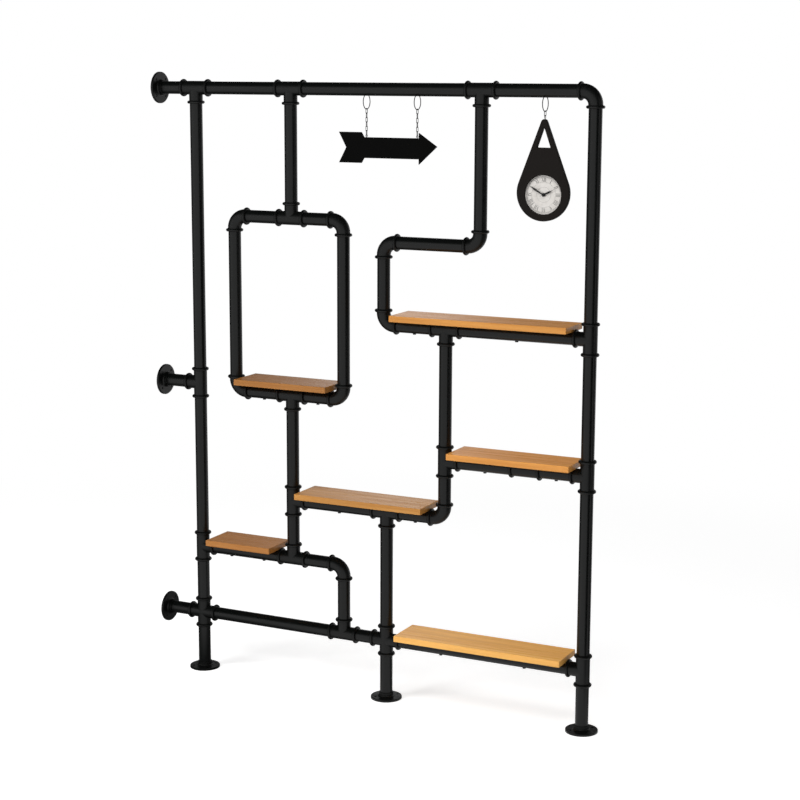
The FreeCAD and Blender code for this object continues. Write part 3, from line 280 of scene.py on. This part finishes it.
def bare_metal(name, **finish):
    material, tree, shader = new_material(name)
    shader.inputs["Metallic"].default_value = 1.0
    place_group(tree, shader, cloudy_metal, scuff_height, **finish)
    return material


screw_metal = bare_metal("blackened_screw", Metal=(0.05, 0.05, 0.05, 1.0), Tarnish=(0.02, 0.02, 0.02, 1.0))
dress(screw_metal, "shelf_screws", "drum_screws")
wire_metal = bare_metal("bent_wire", Metal=(0.05, 0.05, 0.05, 1.0), Tarnish=(0.025, 0.025, 0.025, 1.0))
dress(wire_metal, "sign_rings", "clock_ring", "sign_top_links", "left_chain", "right_chain", "clock_link",
      "sign_eyes", "clock_eye")

# Arrow sign: a thin board sawn to an arrow and painted dead black on all sides.
# Two screw eyes in its upper edge hold it on its chains.
sign_paint = painted("sign_dead_black", bump_height=0.00008, specular=0.03,
                     Paint=(0.0022, 0.0022, 0.0021, 1.0), Dust=(0.0035, 0.0035, 0.0034, 1.0),
                     Smooth=0.6, Rough=0.75, Grit=0.8)
dress(sign_paint, "arrow_sign")

# Clock plate and drum: a drop-shaped board stained a brown that is nearly black, and a moulded band behind it
# that is held by four small screws and carries the dial's backing disc.
plate_stain = painted("plate_brown_black", bump_height=0.0001, specular=0.08,
                      Paint=(0.0090, 0.0076, 0.0068, 1.0), Dust=(0.014, 0.012, 0.011, 1.0),
                      Smooth=0.5, Rough=0.68, Grit=1.0)
dress(plate_stain, "clock_plate")
moulded_black = painted("drum_moulded_black", bump_height=0.00006, specular=0.35,
                        Paint=(0.011, 0.011, 0.011, 1.0), Smooth=0.5, Rough=0.62, Grit=0.7)
dress(moulded_black, "clock_drum", "dial_backing")
moulded_grey = painted("movement_moulded_grey", bump_height=0.00006, specular=0.4,
                       Paint=(0.030, 0.030, 0.032, 1.0), Smooth=0.45, Rough=0.6, Grit=0.7)
dress(moulded_grey, "movement_case", "setting_knob")

# Cell: a dry cell that is clipped into the movement's case behind the dial.
# Its plain sleeve is dark along most of its length and copper-coloured towards its nub.
sleeve, sleeve_tree, sleeve_shader = new_material("cell_sleeve")
cell_low, cell_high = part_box("cell")
sleeve_place = sleeve_tree.nodes.new("ShaderNodeSeparateXYZ")
sleeve_tree.links.new(object_coordinates(sleeve_tree), sleeve_place.inputs["Vector"])
dark_share = 0.7
band_start = cell_low.x + dark_share * (cell_high.x - cell_low.x)
band_edge = 0.0002
copper_metallic = 0.8
sleeve_dark, sleeve_copper = (0.012, 0.012, 0.013, 1.0), (0.42, 0.20, 0.08, 1.0)
copper_end = add_range(sleeve_tree, sleeve_place.outputs["X"], band_start, band_start + band_edge, 0.0, 1.0)
sleeve_scuffs = add_noise(sleeve_tree, object_coordinates(sleeve_tree), (160.0, 600.0, 600.0), detail=4.0)
sleeve_colour = add_mix(sleeve_tree, copper_end, sleeve_dark, sleeve_copper)
sleeve_tree.links.new(sleeve_colour, sleeve_shader.inputs["Base Color"])
sleeve_tree.links.new(add_range(sleeve_tree, sleeve_scuffs, 0.3, 0.7, 0.22, 0.4),
                      sleeve_shader.inputs["Roughness"])
sleeve_tree.links.new(add_math(sleeve_tree, "MULTIPLY", copper_end, copper_metallic),
                      sleeve_shader.inputs["Metallic"])
dress(sleeve, "cell")

# Dial: a disc of off-white card, a little foxed, glued to its backing. A minute track, two inner rings and
# numerals are printed on its face, in a thin film of grey ink.
fresh_card, foxed_card = (0.62, 0.595, 0.565, 1.0), (0.46, 0.435, 0.40, 1.0)
fibre_height = 0.00002
card, card_tree, card_shader = new_material("dial_card")
card_spots = object_coordinates(card_tree)
foxing = add_noise(card_tree, card_spots, (60.0, 60.0, 60.0), detail=6.0, roughness=0.65)
card_fibres = add_noise(card_tree, card_spots, (1500.0, 1500.0, 1500.0), detail=2.0)
card_colour = add_mix(card_tree, add_range(card_tree, foxing, 0.45, 0.75, 0.0, 0.6),
                      fresh_card, foxed_card)
card_tree.links.new(card_colour, card_shader.inputs["Base Color"])
card_tree.links.new(add_range(card_tree, foxing, 0.3, 0.7, 0.6, 0.75), card_shader.inputs["Roughness"])
card_bump = card_tree.nodes.new("ShaderNodeBump")
card_bump.inputs["Distance"].default_value = fibre_height
card_tree.links.new(card_fibres, card_bump.inputs["Height"])
card_tree.links.new(card_bump.outputs["Normal"], card_shader.inputs["Normal"])
dress(card, "dial")

dial_low, dial_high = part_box("dial")
dial_radius = (dial_high.x - dial_low.x) / 2
ink_thickness = 0.00006
dial_face = Matrix.Translation(((dial_low.x + dial_high.x) / 2, dial_low.y - ink_thickness / 2,
                                (dial_low.z + dial_high.z) / 2))
full_ink, worn_ink = (0.13, 0.125, 0.12, 1.0), (0.26, 0.25, 0.235, 1.0)
ink, ink_tree, ink_shader = new_material("dial_ink")
ink_wear = add_noise(ink_tree, object_coordinates(ink_tree), (700.0, 700.0, 700.0), detail=4.0)
ink_colour = add_mix(ink_tree, add_range(ink_tree, ink_wear, 0.4, 0.7, 0.0, 0.5),
                     full_ink, worn_ink)
ink_tree.links.new(ink_colour, ink_shader.inputs["Base Color"])
ink_shader.inputs["Roughness"].default_value = 0.6


def finish_piece(name, shape, material, body):
    """Makes a mesh object of a shape that is already in place, and fixes it to a body."""
    mesh = bpy.data.meshes.new(name)
    bmesh.ops.recalc_face_normals(shape, faces=shape.faces)
    shape.to_mesh(mesh)
    shape.free()
    mesh.materials.append(material)
    piece = bpy.data.objects.new(name, mesh)
    bpy.context.scene.collection.objects.link(piece)
    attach(piece, body)


def add_bar(shape, placing, start, end, width):
    """A flat printed stroke between two points of the dial's plane."""
    line = Vector((end[0] - start[0], 0.0, end[1] - start[1]))
    middle = Matrix.Translation(((start[0] + end[0]) / 2, 0.0, (start[1] + end[1]) / 2))
    turn = Matrix.Rotation(math.atan2(line.x, line.z), 4, "Y")
    size = Matrix.Diagonal((width, ink_thickness, line.length, 1.0))
    bmesh.ops.create_cube(shape, size=1.0, matrix=placing @ middle @ turn @ size)


def add_ring(shape, radius, width):
    """A thin printed ring, spun from a small rectangle."""
    corners = [(radius, -ink_thickness / 2), (radius + width, -ink_thickness / 2),
               (radius + width, ink_thickness / 2), (radius, ink_thickness / 2)]
    section = [shape.verts.new(dial_face @ Vector((across, depth, 0.0))) for across, depth in corners]
    edges = [shape.edges.new(pair) for pair in zip(section, section[1:] + section[:1])]
    bmesh.ops.spin(shape, geom=section + edges, cent=dial_face.translation, axis=(0.0, 1.0, 0.0),
                   angle=math.tau, steps=96, use_merge=True)


track = bmesh.new()
track_radius = 0.93 * dial_radius
minute_length = 0.035 * dial_radius
inner_shares = (0.64, 0.38)
hair_line = 0.00035
add_ring(track, track_radius, hair_line)
add_ring(track, track_radius - minute_length, hair_line)
for inner_share in inner_shares:
    add_ring(track, inner_share * dial_radius, hair_line)
for minute in range(60):
    turn = dial_face @ Matrix.Rotation(math.tau * minute / 60, 4, "Y")
    weight = 2.0 if minute % 5 == 0 else 1.0
    add_bar(track, turn, (0.0, track_radius - minute_length), (0.0, track_radius), weight * hair_line)
finish_piece("dial_minute_track", track, ink, "clock")

# Numerals: printed on the card in the same ink, with their feet towards the middle.
# They have thick and thin strokes, and fine serifs where a stroke ends.
numeral_height = 0.19 * dial_radius
numeral_foot = 0.675 * dial_radius
thick, thin, serif = 0.15, 0.06, 0.05
stroke_sets = {
    "I": (0.34, [((0.0, 0.0), (0.0, 1.0), thick), ((-0.15, 0.0), (0.15, 0.0), serif),
                 ((-0.15, 1.0), (0.15, 1.0), serif)]),
    "V": (0.66, [((-0.22, 1.0), (0.0, 0.0), thick), ((0.22, 1.0), (0.0, 0.0), thin),
                 ((-0.34, 1.0), (-0.10, 1.0), serif), ((0.12, 1.0), (0.32, 1.0), serif)]),
    "X": (0.66, [((-0.22, 1.0), (0.22, 0.0), thick), ((0.22, 1.0), (-0.22, 0.0), thin),
                 ((-0.34, 1.0), (-0.10, 1.0), serif), ((0.12, 1.0), (0.32, 1.0), serif),
                 ((-0.32, 0.0), (-0.12, 0.0), serif), ((0.10, 0.0), (0.34, 0.0), serif)]),
}
numerals = bmesh.new()
for hour, letters in enumerate(("XII", "I", "II", "III", "IIII", "V", "VI", "VII", "VIII", "IX", "X", "XI")):
    turn = dial_face @ Matrix.Rotation(math.tau * hour / 12, 4, "Y")
    across = -sum(stroke_sets[letter][0] for letter in letters) / 2
    for letter in letters:
        width, strokes = stroke_sets[letter]
        for start, end, weight in strokes:
            ends = [((across + width / 2 + x) * numeral_height, numeral_foot + z * numeral_height)
                    for x, z in (start, end)]
            add_bar(numerals, turn, *ends, weight * numeral_height)
        across += width
finish_piece("dial_numerals", numerals, ink, "clock")

# Centre nut and hands: a black nut that holds the movement's bush to the dial, and leaf hands stamped
# from black sheet and pressed on their arbors.
hand_paint = painted("hand_matte_black", bump_height=0.00001, specular=0.3,
                     Paint=(0.006, 0.006, 0.006, 1.0), Dust=(0.012, 0.012, 0.012, 1.0),
                     Smooth=0.45, Rough=0.6, Grit=0.3)
dress(hand_paint, "centre_nut", "hour_hand", "minute_hand", "second_hand")

# Studio: a white floor that keeps the unit's soft shadow and runs out into a white surround.
# What shines sees it bright in front and in a narrower patch behind, and dim elsewhere.
floor_size = 60.0
floor_drop = 0.0005
floor_lift = 0.53
shadow_start, shadow_end = 1.2, 3.0
floor_shape = bmesh.new()
bmesh.ops.create_grid(floor_shape, x_segments=1, y_segments=1, size=floor_size / 2,
                      matrix=Matrix.Translation((0.0, 0.0, -floor_drop)))
floor_mesh = bpy.data.meshes.new("studio_floor")
floor_shape.to_mesh(floor_mesh)
floor_shape.free()
floor = bpy.data.objects.new("studio_floor", floor_mesh)
bpy.context.scene.collection.objects.link(floor)
floor_white, floor_tree, floor_shader = new_material("studio_white")
floor_shader.inputs["Base Color"].default_value = (0.9, 0.9, 0.9, 1.0)
floor_shader.inputs["Roughness"].default_value = 0.9
floor_shader.inputs["Specular IOR Level"].default_value = 0.0
floor_shader.inputs["Emission Color"].default_value = (1.0, 1.0, 1.0, 1.0)


def add_vector_math(tree, operation, first, second=None):
    maths = tree.nodes.new("ShaderNodeVectorMath")
    maths.operation = operation
    tree.links.new(first, maths.inputs[0])
    if second:
        maths.inputs[1].default_value = second
    return maths


def choose(tree, test, yes, no):
    """Takes one value where a light path test holds, and the other elsewhere."""
    choice = tree.nodes.new("ShaderNodeMix")
    choice.data_type = "FLOAT"
    tree.links.new(test, choice.inputs[0])
    for socket, value in zip((choice.inputs[2], choice.inputs[3]), (no, yes)):
        if isinstance(value, bpy.types.NodeSocket):
            tree.links.new(value, socket)
        else:
            socket.default_value = value
    return choice.outputs[0]


dim_level = 0.1
front_side, front_start, front_full = (0.26, -0.966, 0.0), -0.1, 0.4
rear_side, rear_start, rear_full = (0.35, 0.937, 0.0), 0.78, 0.92
rear_level = 0.8


def bright_sides(tree, direction):
    """Full brightness in front, a little less behind, and a dim level between them."""
    front = add_vector_math(tree, "DOT_PRODUCT", direction, front_side).outputs["Value"]
    rear = add_vector_math(tree, "DOT_PRODUCT", direction, rear_side).outputs["Value"]
    return add_math(tree, "MAXIMUM", add_range(tree, front, front_start, front_full, dim_level, 1.0),
                    add_range(tree, rear, rear_start, rear_full, 0.0, rear_level))


floor_spot = object_coordinates(floor_tree)
distance = add_vector_math(floor_tree, "LENGTH", floor_spot).outputs["Value"]
far_away = add_range(floor_tree, distance, shadow_start, shadow_end, 0.0, 1.0)
floor_rays = floor_tree.nodes.new("ShaderNodeLightPath")
floor_shine = floor_rays.outputs["Is Glossy Ray"]
floor_seen = add_math(floor_tree, "MAXIMUM", floor_rays.outputs["Is Camera Ray"],
                      floor_rays.outputs["Is Transmission Ray"])
floor_tree.links.new(add_math(floor_tree, "MULTIPLY", floor_seen, floor_lift),
                     floor_shader.inputs["Emission Strength"])
floor_direction = add_vector_math(floor_tree, "NORMALIZE", floor_spot).outputs["Vector"]
surround = floor_tree.nodes.new("ShaderNodeEmission")
floor_tree.links.new(choose(floor_tree, floor_shine, bright_sides(floor_tree, floor_direction), 1.0),
                     surround.inputs["Strength"])
surround_mix = floor_tree.nodes.new("ShaderNodeMixShader")
far_seen = add_math(floor_tree, "MULTIPLY", far_away, floor_seen)
floor_tree.links.new(add_math(floor_tree, "MAXIMUM", floor_shine, far_seen), surround_mix.inputs["Fac"])
floor_tree.links.new(floor_shader.outputs["BSDF"], surround_mix.inputs[1])
floor_tree.links.new(surround.outputs["Emission"], surround_mix.inputs[2])
floor_tree.links.new(surround_mix.outputs["Shader"], floor_tree.nodes["Material Output"].inputs["Surface"])
floor_mesh.materials.append(floor_white)

# Surround: white wherever the camera looks. What shines sees it bright in front, in a patch behind and in one
# tall window at the back on the left, and dark overhead. A plain grey fills the shade.
world = bpy.data.worlds.new("studio_surround")
bpy.context.scene.world = world
world.use_nodes = True
world_tree = world.node_tree
background = world_tree.nodes["Background"]
background.inputs["Color"].default_value = (1.0, 1.0, 1.0, 1.0)
outlook = world_tree.nodes.new("ShaderNodeTexCoord").outputs["Generated"]
outlook_parts = world_tree.nodes.new("ShaderNodeSeparateXYZ")
world_tree.links.new(outlook, outlook_parts.inputs["Vector"])
sideways, upward = outlook_parts.outputs["X"], outlook_parts.outputs["Z"]
ceiling_start, ceiling_dark = 0.22, 0.62
window_strength = 1.5
ceiling = add_range(world_tree, upward, ceiling_start, ceiling_dark, 1.0, 0.0)
window_left = add_range(world_tree, sideways, -0.50, -0.44, 0.0, window_strength)
window_right = add_range(world_tree, sideways, -0.43, -0.37, 1.0, 0.0)
window_foot = add_range(world_tree, upward, 0.05, 0.1, 0.0, 1.0)
window_pane = add_math(world_tree, "MULTIPLY", window_left, window_right)
window = add_math(world_tree, "MULTIPLY", window_foot, window_pane)
sides = add_math(world_tree, "MAXIMUM", bright_sides(world_tree, outlook), window)
world_rays = world_tree.nodes.new("ShaderNodeLightPath")
fill_level = 0.3
mirrored = add_math(world_tree, "MULTIPLY", ceiling, sides)
shine = choose(world_tree, world_rays.outputs["Is Glossy Ray"], mirrored, fill_level)
world_seen = add_math(world_tree, "MAXIMUM", world_rays.outputs["Is Camera Ray"],
                      world_rays.outputs["Is Transmission Ray"])
world_tree.links.new(choose(world_tree, world_seen, 1.0, shine), background.inputs["Strength"])


# Lamps: one wide soft box in front on the left, and a weaker one high up in front.
# Only their light is used, and what shines sees the surround in their place.
def soft_box(name, place, aim, width, power):
    lamp = bpy.data.lights.new(name, "AREA")
    lamp.shape = "SQUARE"
    lamp.size = width
    lamp.energy = power
    holder = bpy.data.objects.new(name, lamp)
    holder.location = place
    holder.rotation_euler = (Vector(aim) - Vector(place)).to_track_quat("-Z", "Y").to_euler()
    holder.visible_glossy = False
    bpy.context.scene.collection.objects.link(holder)


soft_box("front_soft_box", place=(-2.2, -2.7, 1.7), aim=(0.0, 0.0, 0.8), width=1.8, power=81.0)
soft_box("high_soft_box", place=(0.6, -1.6, 3.4), aim=(0.1, 0.0, 0.6), width=1.6, power=50.0)

# Flag: a tall black panel that stands to the right and leans away.
# Only what shines sees it, as a dark band down each pipe.
flag_shape = bmesh.new()
flag_corners = ((0.95, -0.41, 0.0), (0.95, -0.06, 0.0), (1.75, -0.2, 2.6), (1.75, -1.43, 2.6))
flag_shape.faces.new([flag_shape.verts.new(corner) for corner in flag_corners])
flag_mesh = bpy.data.meshes.new("studio_flag")
flag_shape.to_mesh(flag_mesh)
flag_shape.free()
flag = bpy.data.objects.new("studio_flag", flag_mesh)
bpy.context.scene.collection.objects.link(flag)
flag.visible_camera = False
flag.visible_diffuse = False
flag.visible_shadow = False
flag.visible_transmission = False
flag_black, _, flag_shader = new_material("flag_black")
flag_shader.inputs["Base Color"].default_value = (0.02, 0.02, 0.02, 1.0)
flag_shader.inputs["Specular IOR Level"].default_value = 0.0
flag_mesh.materials.append(flag_black)

# Camera: at eye level in front of the free end, looking down a little.
# Its long lens keeps the posts nearly upright.
camera_lens = bpy.data.cameras.new("camera")
camera_lens.sensor_width = 36.0
camera_lens.lens = 80.84
camera = bpy.data.objects.new("camera", camera_lens)
camera.location = (2.1179, -4.1352, 1.6559)
look_left, look_down, tilt = (math.radians(angle) for angle in (26.204, 10.299, 0.226))
aim = (Matrix.Rotation(look_left, 3, "Z") @ Matrix.Rotation(math.pi / 2 - look_down, 3, "X")
       @ Matrix.Rotation(tilt, 3, "Z"))
camera.rotation_euler = aim.to_euler()
bpy.context.scene.collection.objects.link(camera)
bpy.context.scene.camera = camera
bpy.context.scene.view_settings.view_transform = "Standard"
